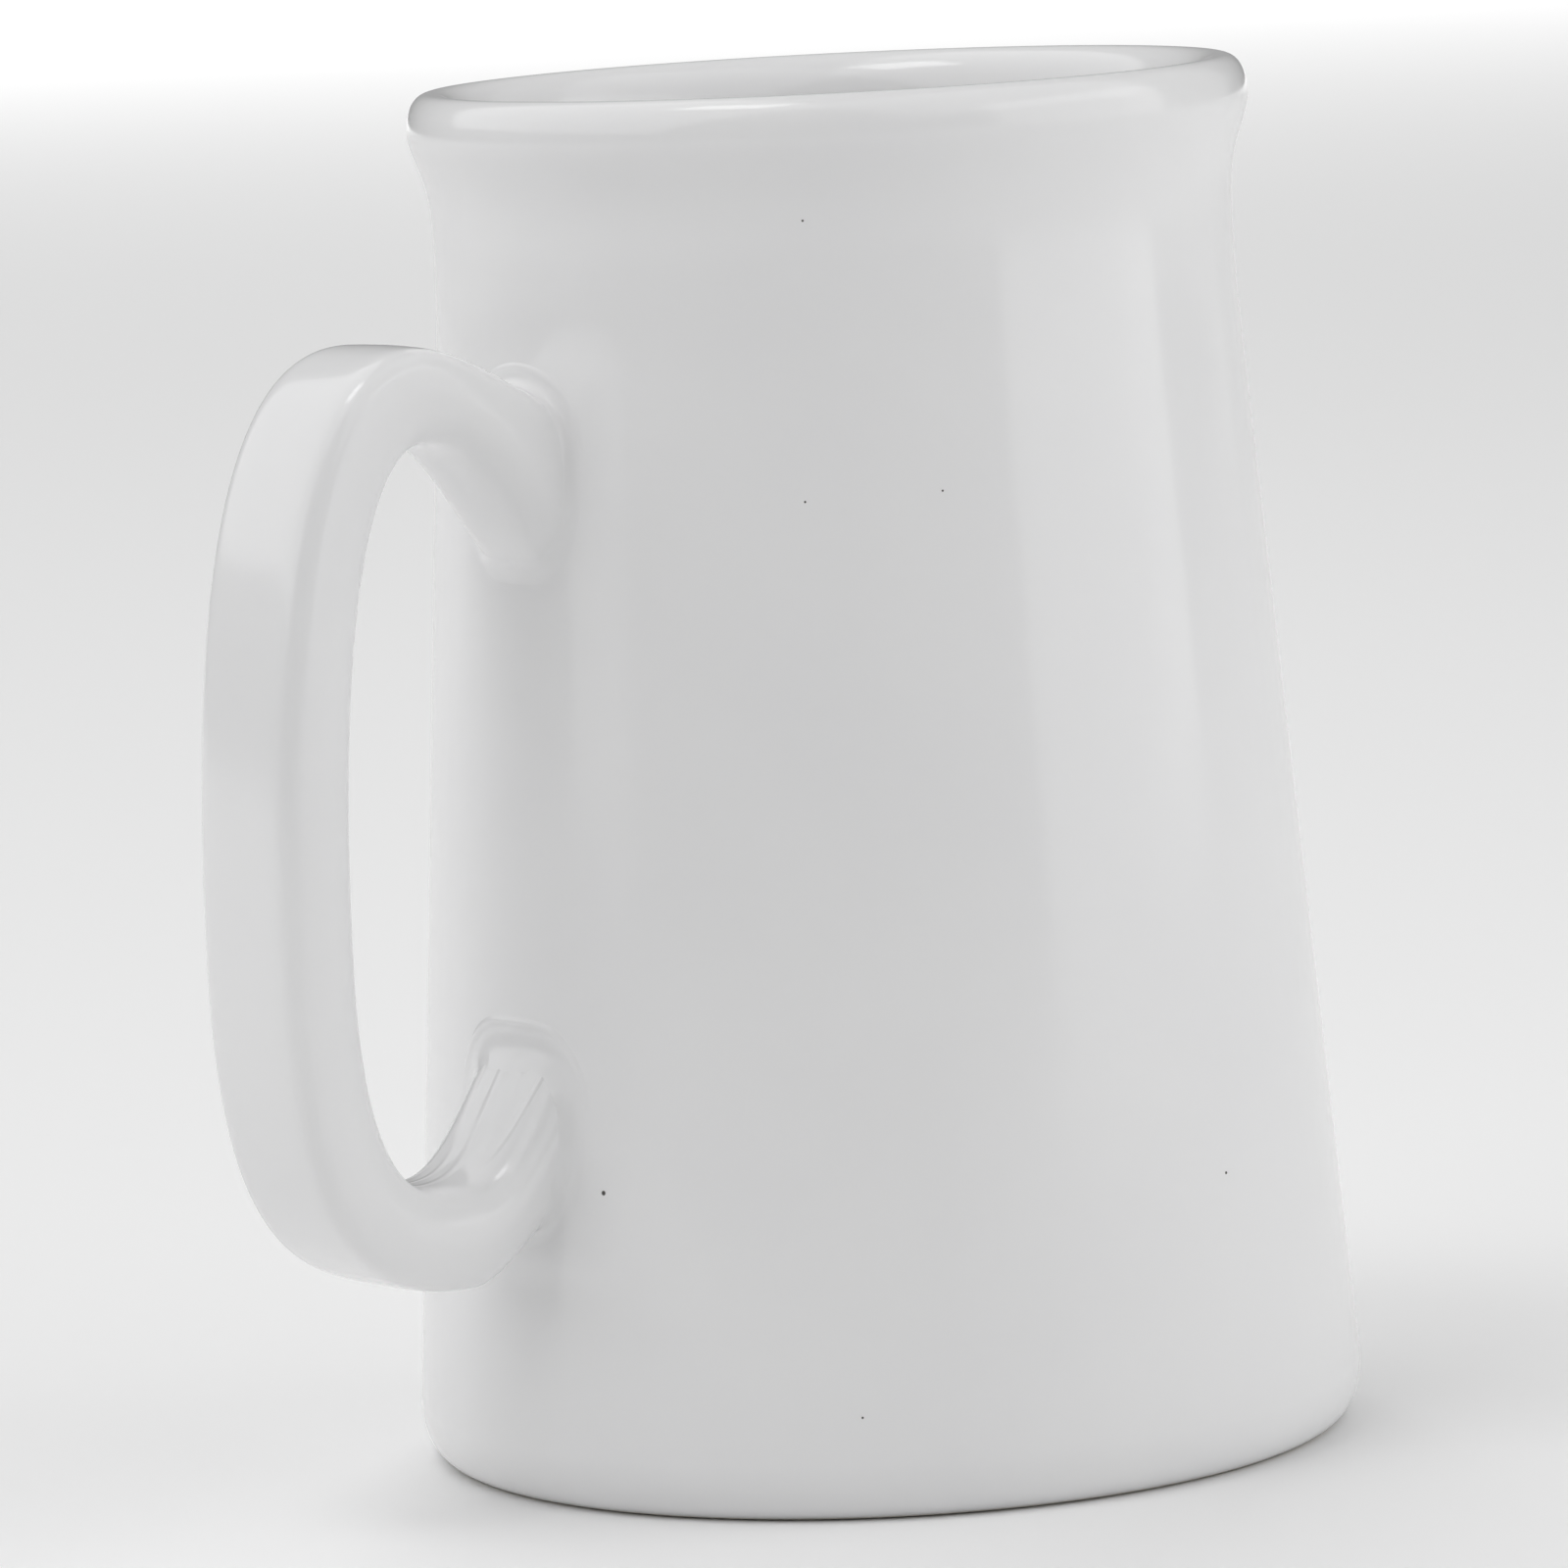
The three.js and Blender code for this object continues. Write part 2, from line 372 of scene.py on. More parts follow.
    def wipe_foot(
        self, tree: bpy.types.NodeTree, place: bpy.types.NodeSocket,
        colour: bpy.types.NodeSocket, shader: bpy.types.Node,
    ) -> None:
        """Show the rough fired body on the ring that stands on the kiln's shelf.

        Args:
            tree: the material's tree.
            place: the Object coordinates.
            colour: the glaze's colour.
            shader: the shader, which takes the new colour and roughness.
        """
        height = add_node(tree, "SeparateXYZ", {0: place}).outputs["Z"]
        bare = add_node(
            tree, "MapRange", {"Value": height},
            in_From_Min=self.bare_below * MM,
            in_From_Max=self.bare_fade * self.bare_below * MM,
            in_To_Min=1.0, in_To_Max=0.0,
        ).outputs[0]
        mixed = add_node(
            tree, "Mix", {"Factor": bare, 6: colour},
            data_type="RGBA", in_7=linear(self.bare),
        ).outputs[2]
        dull = add_node(
            tree, "MapRange", {"Value": bare},
            in_To_Min=self.roughness, in_To_Max=self.bare_roughness,
        ).outputs[0]
        tree.links.new(mixed, shader.inputs["Base Color"])
        tree.links.new(dull, shader.inputs["Roughness"])


# ---------------------------------------------------------------- the cup


@dataclass
class Cup:
    """The slip-cast cup: a straight tapered side that flares into a rounded lip.

    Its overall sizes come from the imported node; the fields are the shape between them, in
    millimetres, radii from the cup's own axis.
    """

    name: str = "cup_body_glazed"
    node: str = "cup_body"
    taper: float = 0.0697  # how much the side draws in for each millimetre of height
    neck_drop: float = 17.0  # the narrowest place, below the crest
    neck_radius: float = 36.85
    neck_bend: float = 16.0  # how far below it the straight side begins to bend
    throat_drop: float = 8.3  # the middle of the flare, below the crest
    throat_radius: float = 37.4
    flare: float = 0.27  # how much the side opens there for each millimetre of height
    lip_radius: float = 38.75
    lip_drop: float = 3.7
    wall: float = 4.5
    floor: float = 7.0
    floor_corner: float = 9.0
    foot_corner: tuple[float, float] = (3.5, 5.5)  # rounding under the side, across and up
    foot_ring: float = 34.0  # inner radius of the ring that it stands on
    recess: float = 1.6
    pinholes: tuple[tuple[float, float, float, float], ...] = (
        (-40.7, -11.2, 29.5, 0.27),
        (6.5, -41.9, 27.6, 0.17),
        (-26.4, -27.3, 91.1, 0.13),
        (-16.3, -34.2, 91.4, 0.13),
        (-25.0, -27.2, 115.9, 0.13),
        (-29.2, -32.4, 9.7, 0.13),
    )  # from the axis on the table, and the radius
    straight: int = 16  # points up a straight stretch of the outline
    turns: int = 192
    axis: Vector = field(init=False)
    height: float = field(init=False)
    base_radius: float = field(init=False)

    def __post_init__(self) -> None:
        """Take the place of the axis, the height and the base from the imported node."""
        low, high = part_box(self.node)
        self.axis = Vector(((low.x + high.x) / 2, (low.y + high.y) / 2, 0.0))
        self.height = high.z / MM
        self.base_radius = (high.x - low.x) / 2 / MM

    def side(self, z: float) -> float:
        """Radius of the outside, from above the foot's rounding up to the neck."""
        return self.base_radius - self.taper * (z - self.foot_corner[1])

    def profile(self) -> list[Vector]:
        """Outline of half the cup's section.

        Returns:
            Points from the axis under the base, round the outside and the lip, down the inside to
            the axis again.
        """
        out = self.under_base()
        out += self.up_side()
        out += self.over_lip(out[-1])
        out += self.down_inside(out[-1])
        return out

    def under_base(self) -> list[Vector]:
        """Outline from the axis over the recess and the foot ring, and round the corner.

        Returns:
            The points, the last one at the foot of the straight side.
        """
        ring, recess = self.foot_ring, self.recess
        across, up = self.foot_corner
        edge = self.side(up) - across
        out = [flat(x, recess) for x in (0, 12, 24, ring - 3.0)]
        out += bezier(
            [out[-1], flat(ring - 1.6, recess), flat(ring - 1.0, 0.9), flat(ring - 0.6, 0.5)], 4)
        out += bezier([out[-1], flat(ring - 0.3, 0.1), flat(ring, 0), flat(ring + 0.7, 0)], 4)
        out += [flat(ring + 2.5, 0), flat(edge - 1.5, 0), flat(edge, 0)]
        out += bezier(
            [out[-1], flat(edge + 0.6 * across, 0),
             flat(self.side(up), 0.38 * up), flat(self.side(up), up)], 14)
        return out

    def up_side(self) -> list[Vector]:
        """Outline up the straight side and into the neck.

        Returns:
            The points, the last one at the narrowest place.
        """
        up = self.foot_corner[1]
        neck = self.height - self.neck_drop
        bend = neck - self.neck_bend
        heights = [up + (bend - up) * i / self.straight for i in range(1, self.straight + 1)]
        out = [flat(self.side(z), z) for z in heights]
        half_way = neck - self.neck_bend / 2
        out += bezier(
            [out[-1], flat(self.side(half_way), half_way),
             flat(self.neck_radius, neck - 4), flat(self.neck_radius, neck)], 8)
        return out

    def over_lip(self, neck: Vector) -> list[Vector]:
        """Outline along the flare to the lip, over its crest, and down inside the throat.

        Args:
            neck: the outline's last point, in the neck.

        Returns:
            The points after it.
        """
        top = self.height
        throat, lip = top - self.throat_drop, top - self.lip_drop
        crest = self.lip_radius - self.wall / 2
        mouth = self.mouth()
        out = bezier(
            [neck, flat(self.neck_radius - 0.05, neck.z + 3.5),
             flat(self.throat_radius - 2.6 * self.flare, throat - 2.6),
             flat(self.throat_radius, throat)], 8)
        out += bezier(
            [out[-1], flat(self.throat_radius + 1.7 * self.flare, throat + 1.7),
             flat(self.lip_radius, lip - 1.2), flat(self.lip_radius, lip)], 8)
        out += bezier(
            [out[-1], flat(self.lip_radius, lip + 0.6 * self.lip_drop),
             flat(crest + 0.65 * (self.lip_radius - crest), top), flat(crest, top)], 12)
        out += bezier(
            [out[-1], flat(crest - 0.62 * (crest - mouth), top),
             flat(mouth, top - 2.6), flat(mouth, throat)], 12)
        return out

    def mouth(self) -> float:
        """Radius of the inside at the throat, where the wall is a little thicker."""
        return self.throat_radius - self.wall - 0.3

    def down_inside(self, throat: Vector) -> list[Vector]:
        """Outline down the inside, round the corner at its foot, and in to the axis.

        Args:
            throat: the outline's last point, inside the throat.

        Returns:
            The points after it.
        """
        neck = self.height - self.neck_drop
        heel = self.floor + self.floor_corner
        out = bezier(
            [throat, flat(throat.x, throat.z - 3), flat(self.neck_radius - self.wall, neck + 4),
             flat(self.neck_radius - self.wall, neck)], 6)
        heights = [neck + (heel - neck) * i / self.straight for i in range(1, self.straight + 1)]
        out += [flat(self.side(z) - self.wall, z) for z in heights]
        foot, corner = out[-1].x, self.floor_corner
        out += bezier(
            [out[-1], flat(foot, self.floor + 0.45 * corner),
             flat(foot - 0.55 * corner, self.floor), flat(foot - corner, self.floor)], 10)
        out += [flat(x, self.floor) for x in (foot - corner - 9, 10, 0)]
        return out

    def build(self) -> bpy.types.Object:
        """Draw the outline by extruding a point, and spin it round the axis.

        Returns:
            The cup's mesh object, at the origin.
        """
        outline = self.profile()
        deselect_all()
        bpy.ops.mesh.primitive_plane_add(size=1 * MM)
        cup = newest(self.name)
        bpy.ops.object.mode_set(mode="EDIT")
        bpy.ops.mesh.select_all(action="SELECT")
        bpy.ops.mesh.merge(type="CENTER")
        bpy.ops.transform.translate(value=outline[0] * MM)
        for last, point in zip(outline, outline[1:]):
            bpy.ops.mesh.extrude_region_move(TRANSFORM_OT_translate={"value": (point - last) * MM})
        bpy.ops.mesh.select_all(action="SELECT")
        bpy.ops.mesh.spin(
            steps=self.turns, angle=2 * math.pi, center=(0, 0, 0), axis=(0, 0, 1),
            use_auto_merge=True,
        )
        bpy.ops.mesh.select_all(action="SELECT")
        bpy.ops.mesh.remove_doubles(threshold=0.002 * MM)
        bpy.ops.mesh.normals_make_consistent(inside=False)
        bpy.ops.transform.translate(value=self.axis)
        bpy.ops.object.mode_set(mode="OBJECT")
        bpy.ops.object.shade_smooth()
        return cup

    def dress(self, cup: bpy.types.Object) -> None:
        """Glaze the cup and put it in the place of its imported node.

        Args:
            cup: the cup's mesh object.
        """
        pinholes = tuple(
            (x + self.axis.x / MM, y + self.axis.y / MM, z, radius)
            for x, y, z, radius in self.pinholes
        )
        glaze = WhiteGlaze("white_glaze_on_cup", pinholes=pinholes, bare_below=0.25)
        cup.data.materials.append(glaze.material())
        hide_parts(self.node)
        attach(cup, "root")


# ---------------------------------------------------------------- the handle


@dataclass(frozen=True)
class Station:
    """One section of the strap: its middle, its turn about Y, its half height and its roundness."""

    centre: Vector
    turn: float
    half: float
    roundness: float


@dataclass
class Handle:
    """The cast strap handle: a rounded strap that leaves the cup, drops and comes back to it.

    Its outside and inside lines are drawn in the plane through the cup's axis, x out from the axis
    and z up, in millimetres; the strap's width is across that plane.
    """

    cup: Cup
    name: str = "strap_handle_glazed"
    node: str = "handle"
    thickness: float = 8.9  # across the strap at the belly
    outer_edge: float = 2.2  # radius of the strap's outside edges at the belly
    inner_edge: float = 4.2  # the same inside, where the fingers go
    crown: float = 0.05  # how far the flat faces bulge, as a share of the way to a round section
    root_roundness: float = 0.16  # how much rounder each section gets towards the roots
    upper_root: tuple[float, float] = (84.0, 101.0)  # height of its underside and top at the cup
    lower_root: tuple[float, float] = (25.0, 43.0)  # height of its sole and its inside at the cup
    outer_bends: tuple[float, float] = (52.5, 51.5)  # where the outside is highest and lowest
    inner_bends: tuple[float, float] = (51.0, 53.0)  # the same of the inside
    inner_heights: tuple[float, float] = (97.4, 31.0)  # the inside's highest and lowest
    belly_rise: float = 30.0  # height of the widest place above the handle's lowest
    bury: float = 1.7  # how far its ends run into the cup's wall
    stretch: int = 9  # sections in a root's stretch of the outline
    brushed: tuple[float, float, float] = (-45.0, 0.0, 36.0)  # middle of the brush streaks
    width: float = field(init=False)
    top: float = field(init=False)
    bottom: float = field(init=False)
    reach: float = field(init=False)

    def __post_init__(self) -> None:
        """Take the handle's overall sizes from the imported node."""
        low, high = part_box(self.node)
        self.width = (high.y - low.y) / MM
        self.top, self.bottom = high.z / MM, low.z / MM
        self.reach = (self.cup.axis.x - low.x) / MM

    def lines(self) -> tuple[list[Vector], list[Vector]]:
        """The outside and inside lines, with a point of each for every section.

        Returns:
            The outside's points and the inside's, from the upper root to the lower one.
        """
        n = self.stretch
        side, bury = self.cup.side, self.bury
        (under, over), (sole, inside) = self.upper_root, self.lower_root
        top, bottom, far = self.top, self.bottom, self.reach
        belly = bottom + self.belly_rise
        high, low = self.outer_bends
        outer = [flat(side(over) - bury, over - 0.4)]
        outer += bezier(
            [outer[-1], flat(side(over) + 4.5, over + 2.0), flat(high - 6, top), flat(high, top)], n)
        outer += bezier(
            [outer[-1], flat(high + 0.72 * (far - high), top),
             flat(far, belly + 0.6 * (top - belly)), flat(far, belly)], 2 * n)
        outer += bezier(
            [outer[-1], flat(far, belly - 0.72 * (belly - bottom)),
             flat(low + 0.7 * (far - low), bottom), flat(low, bottom)], 2 * n)
        outer += bezier(
            [outer[-1], flat(low - 4, bottom),
             flat(side(sole) + 3.5, sole - 1.0), flat(side(sole) - bury, sole + 0.9)], n)
        top, bottom = self.inner_heights
        far -= self.thickness
        high, low = self.inner_bends
        inner = [flat(side(under) - bury, under - 1.4)]
        inner += bezier(
            [inner[-1], flat(side(under) + 3.2, under + 3.0), flat(high - 7, top), flat(high, top)], n)
        inner += bezier(
            [inner[-1], flat(high + 0.66 * (far - high), top),
             flat(far, belly + 0.57 * (top - belly)), flat(far, belly)], 2 * n)
        inner += bezier(
            [inner[-1], flat(far, belly - 0.62 * (belly - bottom)),
             flat(low + 0.7 * (far - low), bottom), flat(low, bottom)], 2 * n)
        inner += bezier(
            [inner[-1], flat(low - 6, bottom),
             flat(side(inside) + 3.4, inside - 5.4), flat(side(inside) - bury, inside + 1.6)], n)
        return outer, inner

    def stations(self) -> list[Station]:
        """The strap's sections.

        Returns:
            The sections from the upper root to the lower one.
        """
        outer, inner = (self.sharpened(line) for line in self.lines())
        out = []
        for i, (a, b) in enumerate(zip(outer, inner)):
            middle, half = (a + b) / 2, (a - b) / 2
            steps = min(i, len(outer) - 1 - i)
            out.append(Station(
                Vector((-middle.x, 0, middle.z)) * MM + self.cup.axis,
                math.atan2(-half.x, half.z),
                half.length * MM,
                self.root_roundness if steps < self.stretch else 0.0,
            ))
        return out

    @staticmethod
    def sharpened(points: list[Vector]) -> list[Vector]:
        """Push each point of a line out by what subdivision will pull it in.

        Args:
            points: the line's points.

        Returns:
            The points as the coarse mesh needs them.
        """
        out = [points[0]]
        for a, b, c in zip(points, points[1:], points[2:]):
            out.append(b + (b * 2 - a - c) / 6)
        return out + [points[-1]]

    def build(self) -> bpy.types.Object:
        """Extrude a rounded section from the belly to each root.

        Returns:
            The handle's mesh object, at the origin.
        """
        stations = self.stations()
        belly = len(stations) // 2
        deselect_all()
        bpy.ops.mesh.primitive_plane_add(size=2)
        handle = newest(self.name)
        bpy.ops.object.mode_set(mode="EDIT")
        self.lay_section(stations[belly])
        start = self.selected_middle(handle)
        self.run(stations[belly::-1])
        self.select_cap(handle, start)
        self.run(stations[belly:])
        bpy.ops.mesh.select_all(action="SELECT")
        bpy.ops.mesh.normals_make_consistent(inside=False)
        bpy.ops.object.mode_set(mode="OBJECT")
        apply_modifier(handle, "SUBSURF", levels=2, render_levels=2)
        bpy.ops.object.shade_smooth()
        settle(handle)
        return handle

    def lay_section(self, station: Station) -> None:
        """Turn the plane into the strap's section, with rounded corners, and lay it in place.

        Args:
            station: the section's place, turn and height.
        """
        bpy.ops.mesh.select_all(action="SELECT")
        bpy.ops.transform.rotate(value=math.pi / 2, orient_axis="Y", center_override=(0, 0, 0))
        bpy.ops.transform.resize(
            value=(1, self.width / 2 * MM, station.half), center_override=(0, 0, 0),
        )
        for radius, outside in ((self.outer_edge, True), (self.inner_edge, False)):
            self.select_corners(outside)
            bpy.ops.mesh.bevel(
                offset=radius * MM, offset_type="OFFSET", segments=3, affect="VERTICES",
            )
        self.split_long_edges()
        bpy.ops.mesh.select_all(action="SELECT")
        self.reshape(self.crown, (self.width / 2 * MM, station.half))
        self.turn(station.turn, (0, 0, 0))
        bpy.ops.transform.translate(value=station.centre)

    @staticmethod
    def select_corners(outside: bool) -> None:
        """Select the section's points on one half of it.

        Args:
            outside: whether it is the half away from the cup.
        """
        bpy.ops.mesh.select_all(action="DESELECT")
        mesh = bmesh.from_edit_mesh(bpy.context.edit_object.data)
        for vert in mesh.verts:
            vert.select_set((vert.co.z > 0) == outside)
        mesh.select_flush_mode()
        bmesh.update_edit_mesh(bpy.context.edit_object.data)

    @staticmethod
    def split_long_edges() -> None:
        """Cut the section's long flat sides in four, so that subdivision keeps them flat."""
        mesh = bmesh.from_edit_mesh(bpy.context.edit_object.data)
        longest = max(edge.calc_length() for edge in mesh.edges)
        for part in (*mesh.faces, *mesh.edges, *mesh.verts):
            part.select = False
        for edge in mesh.edges:
            edge.select_set(edge.calc_length() > 0.7 * longest)
        bmesh.update_edit_mesh(bpy.context.edit_object.data)
        bpy.ops.mesh.subdivide(number_cuts=3)
        bpy.ops.mesh.select_all(action="SELECT")
        bpy.ops.mesh.dissolve_faces(use_verts=False)

    def run(self, stations: list[Station]) -> None:
        """Extrude the selected section from the first station through the others.

        Args:
            stations: where the section is, and the stations to take it through.
        """
        for last, new in zip(stations, stations[1:]):
            bpy.ops.mesh.extrude_region_move()
            self.turn(-last.turn, last.centre)
            bpy.ops.transform.translate(value=-last.centre)
            self.reshape(new.roundness, (self.width / 2 * MM, new.half))
            self.turn(new.turn, (0, 0, 0))
            bpy.ops.transform.translate(value=new.centre)

    def reshape(self, roundness: float, half_sizes: tuple[float, float]) -> None:
        """Make the selected section, upright at the origin, rounder, and scale it to a size.

        Args:
            roundness: how far to take it towards a round section, from 0 to 1.
            half_sizes: half its width along Y and half its height along Z, in metres.
        """
        self.resize_section((1.0, 1.0))
        if roundness:
            bpy.ops.transform.tosphere(value=roundness, center_override=(0, 0, 0))
        self.resize_section(half_sizes)

    @staticmethod
    def resize_section(half_sizes: tuple[float, float]) -> None:
        """Scale the selected section, which stands upright at the origin.

        Args:
            half_sizes: half its new width along Y and half its new height along Z, in metres.
        """
        mesh = bmesh.from_edit_mesh(bpy.context.edit_object.data)
        picked = [v.co for v in mesh.verts if v.select]
        now = (max(abs(co.y) for co in picked), max(abs(co.z) for co in picked))
        bpy.ops.transform.resize(
            value=(1, half_sizes[0] / now[0], half_sizes[1] / now[1]), center_override=(0, 0, 0),
        )

    @staticmethod
    def selected_middle(handle: bpy.types.Object) -> Vector:
        """Middle of what is selected in edit mode."""
        picked = [v.co for v in bmesh.from_edit_mesh(handle.data).verts if v.select]
        return sum(picked, Vector()) / len(picked)

    @staticmethod
    def select_cap(handle: bpy.types.Object, middle: Vector) -> None:
        """Select only the end face that lies at a place.

        Args:
            handle: the handle's mesh object, in edit mode.
            middle: where the face's middle is.
        """
        bpy.ops.mesh.select_all(action="DESELECT")
        mesh = bmesh.from_edit_mesh(handle.data)
        cap = min(mesh.faces, key=lambda face: (
            len(face.verts) == 4, (face.calc_center_median() - middle).length))
        cap.select_set(True)
        bmesh.update_edit_mesh(handle.data)

    @staticmethod
    def turn(angle: float, centre: Vector | tuple[float, float, float]) -> None:
        """Turn what is selected about Y, right-handed, with +Z going towards +X."""
        # With no window the operator turns the other way.
        bpy.ops.transform.rotate(value=-angle, orient_axis="Y", center_override=centre)

    def dress(self, handle: bpy.types.Object) -> None:
        """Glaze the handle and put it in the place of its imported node.

        Args:
            handle: the handle's mesh object.
        """
        brushed = tuple(self.cup.axis / MM + Vector(self.brushed))
        glaze = WhiteGlaze("white_glaze_on_handle", cloud=18.0, streaks=brushed)
        handle.data.materials.append(glaze.material())
        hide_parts(self.node)
        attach(handle, "root")


# ---------------------------------------------------------------- the slip joints


class Root(Enum):
    """The two ends of the handle, and the middle height of each on the cup's side, in mm."""

    UPPER = 92.5
    LOWER = 34.5


@dataclass
class SlipJoint:
    """The fillet of slip round one end of the handle, smoothed with a wet brush and glazed over."""

    cup: Cup
    root: Root
    name: str
    node: str
    leg: float  # how far the fillet runs up the handle and out on the cup, mm
    bead: float  # height of the roll of slip that the brush left above it, mm
    bead_width: float = 1.3
    hollow: float = 0.35  # how far the brush left it short of the full corner
    tuck: float = 0.3  # how far its edges run on along the surfaces, mm
    sink: float = 0.036  # how deep they end under them, mm
    core: float = 1.0  # depth of its hidden side under the surfaces, mm
    around: int = 120
    face: int = 10  # points across its face
    bead_points: int = 7

    def build(self, cup: bpy.types.Object, handle: bpy.types.Object) -> bpy.types.Object:
        """Lay a ring round the handle's end, and press it against the handle and the cup.

        Args:
            cup: the finished cup, which the fillet's foot lies on.
            handle: the finished handle, which the fillet runs up.

        Returns:
            The fillet's mesh object, at the origin.
        """
        depsgraph = bpy.context.evaluated_depsgraph_get()
        cup_faces = BVHTree.FromObject(cup, depsgraph)
        handle_faces = BVHTree.FromObject(handle, depsgraph)
        rows = self.face + self.bead_points + 4
        deselect_all()
        bpy.ops.mesh.primitive_torus_add(
            major_segments=self.around, minor_segments=rows,
            major_radius=10 * MM, minor_radius=1 * MM,
        )
        ring = newest(self.name)
        shares = [i / self.around for i in range(self.around)]
        corners = [self.on_handle(cup_faces, handle_faces, share, 0) for share in shares]
        middle = sum(corners, Vector()) / len(corners)
        for i, corner in enumerate(corners):
            along = (corners[(i + 1) % self.around] - corners[i - 1]).normalized()
            out = along.cross(self.outward(corner)).normalized()
            if out.dot(corner - middle) < 0:
                out = -out
            points = self.section(cup_faces, handle_faces, shares[i], corner, out)
            for j, point in enumerate(points):
                ring.data.vertices[i * rows + j].co = point
        ring.data.update()
        bpy.ops.object.mode_set(mode="EDIT")
        bpy.ops.mesh.select_all(action="SELECT")
        bpy.ops.mesh.normals_make_consistent(inside=False)
        bpy.ops.object.mode_set(mode="OBJECT")
        bpy.ops.object.shade_smooth()
        settle(ring)
        return ring

    def section(
        self, cup_faces: BVHTree, handle_faces: BVHTree, share: float, corner: Vector, out: Vector,
    ) -> list[Vector]:
        """Draw one section of the fillet, from its edge on the handle round to that edge again.

        Args:
            cup_faces: the cup's faces.
            handle_faces: the handle's faces.
            share: the section's direction, as a share of a turn round the handle's end.
            corner: where the handle's surface meets the cup's there.
            out: the direction away from the handle, along the cup.

        Returns:
            The points: the face from the handle to the cup, the bead, and the hidden side.
        """
        up, sink = self.outward(corner), self.sink * MM
        arm = self.up_handle(cup_faces, handle_faces, share, corner, self.leg)
        end = self.up_handle(cup_faces, handle_faces, share, corner, self.leg + self.tuck)
        foot = self.on_cup(cup_faces, corner + out * self.leg * MM)
        fill = 1 - self.hollow
        points = [end - out * sink, arm]
        points += bezier([arm, arm.lerp(corner, fill), foot.lerp(corner, fill), foot], self.face - 1)
        # The bead is highest above the handle's end, and fades out to its sides.
        height = self.bead * max(0.0, math.sin(2 * math.pi * share)) ** 2
        for j in range(1, self.bead_points + 1):
            step = j / self.bead_points
            far = self.leg + self.bead_width * step
            rise = height * math.sin(math.pi * step) ** 2 * MM - sink * step
            points.append(self.on_cup(cup_faces, corner + out * far * MM) + up * rise)
        down, inward = up * self.core * MM, out * self.core * MM
        points += [points[-1] - down, corner - down - inward, end - inward]
        return points

    def outward(self, point: Vector) -> Vector:
        """The direction out of the cup's side at a point on it."""
        level = Vector((point.x - self.cup.axis.x, point.y - self.cup.axis.y, 0)).normalized()
        return (level + Vector((0, 0, self.cup.taper))).normalized()

    def on_cup(self, cup_faces: BVHTree, point: Vector) -> Vector:
        """Move a point level, out or in from the cup's axis, to the cup's outside.

        Args:
            cup_faces: the cup's faces.
            point: the point to move.

        Returns:
            The point on the cup.
        """
        axis = Vector((self.cup.axis.x, self.cup.axis.y, point.z))
        level = (point - axis).normalized()
        return cup_faces.ray_cast(axis + level * 2 * self.cup.base_radius * MM, -level)[0]

    def on_handle(
        self, cup_faces: BVHTree, handle_faces: BVHTree, share: float, out: float,
    ) -> Vector:
        """Find the handle's surface in one direction from the middle of its end.

        Args:
            cup_faces: the cup's faces.
            handle_faces: the handle's faces.
            share: the direction, as a share of a turn round the end.
            out: how far out from the cup's side to look, mm.

        Returns:
            The point on the handle, that far out from the cup's side.
        """
        angle = 2 * math.pi * share
        way = Vector((0, math.cos(angle), math.sin(angle)))
        middle = self.cup.axis + Vector((-self.cup.side(self.root.value), 0, self.root.value)) * MM
        point = middle
        for _ in range(5):
            side = self.on_cup(cup_faces, point)
            side += self.outward(side) * out * MM
            hit = handle_faces.ray_cast(Vector((side.x, middle.y, middle.z)), way)[0]
            point = hit or point
        return point

    def up_handle(
        self, cup_faces: BVHTree, handle_faces: BVHTree, share: float, corner: Vector, far: float,
    ) -> Vector:
        """Find the point on the handle at a distance from the fillet's corner.

        Args:
            cup_faces: the cup's faces.
            handle_faces: the handle's faces.
            share: the direction, as a share of a turn round the handle's end.
            corner: the fillet's corner there.
            far: the distance, mm.

        Returns:
            The point on the handle.
        """
        low, high = 0.0, far
        point = corner
        for _ in range(7):
            out = (low + high) / 2
            point = self.on_handle(cup_faces, handle_faces, share, out)
            if (point - corner).length > far * MM:
                high = out
            else:
                low = out
        return point

    def dress(self, ring: bpy.types.Object) -> None:
        """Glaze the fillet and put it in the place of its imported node.

        Args:
            ring: the fillet's mesh object.
        """
        # The fillet's thin glaze is a touch greyer than the cup's (#E9E9EA for #EBEBEC): painted shade
        # for the crease round the handle's end.
        glaze = WhiteGlaze(f"glaze_with_painted_shade_on_{self.root.name.lower()}_joint", thin="#E9E9EA")
        ring.data.materials.append(glaze.material())
        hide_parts(self.node)
        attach(ring, "root")


# ---------------------------------------------------------------- the studio


@dataclass(frozen=True)
class Softbox:
    """A large flat softbox, placed by its direction from what it is aimed at."""

    name: str
    azimuth: float  # degrees, 0 is along -Y, 90 along +X
    elevation: float  # degrees
    distance: float  # metres
    size: tuple[float, float]  # metres, across and up
    watts: float
    shines: bool = True  # whether the glaze mirrors it

    def build(self, target: Vector) -> None:
        """Hang the softbox and aim it.

        Args:
            target: the point that it faces.
        """
        around, up = math.radians(self.azimuth), math.radians(self.elevation)
        way = Vector((
            math.sin(around) * math.cos(up), -math.cos(around) * math.cos(up), math.sin(up)
        ))
        light = bpy.data.lights.new(self.name, "AREA")
        light.shape = "RECTANGLE"
        light.size, light.size_y = self.size
        light.energy = self.watts
        box = bpy.data.objects.new(self.name, light)
        box.location = target + way * self.distance
        box.rotation_euler = (-way).to_track_quat("-Z", "Y").to_euler()
        box.visible_glossy = self.shines
        bpy.context.scene.collection.objects.link(box)


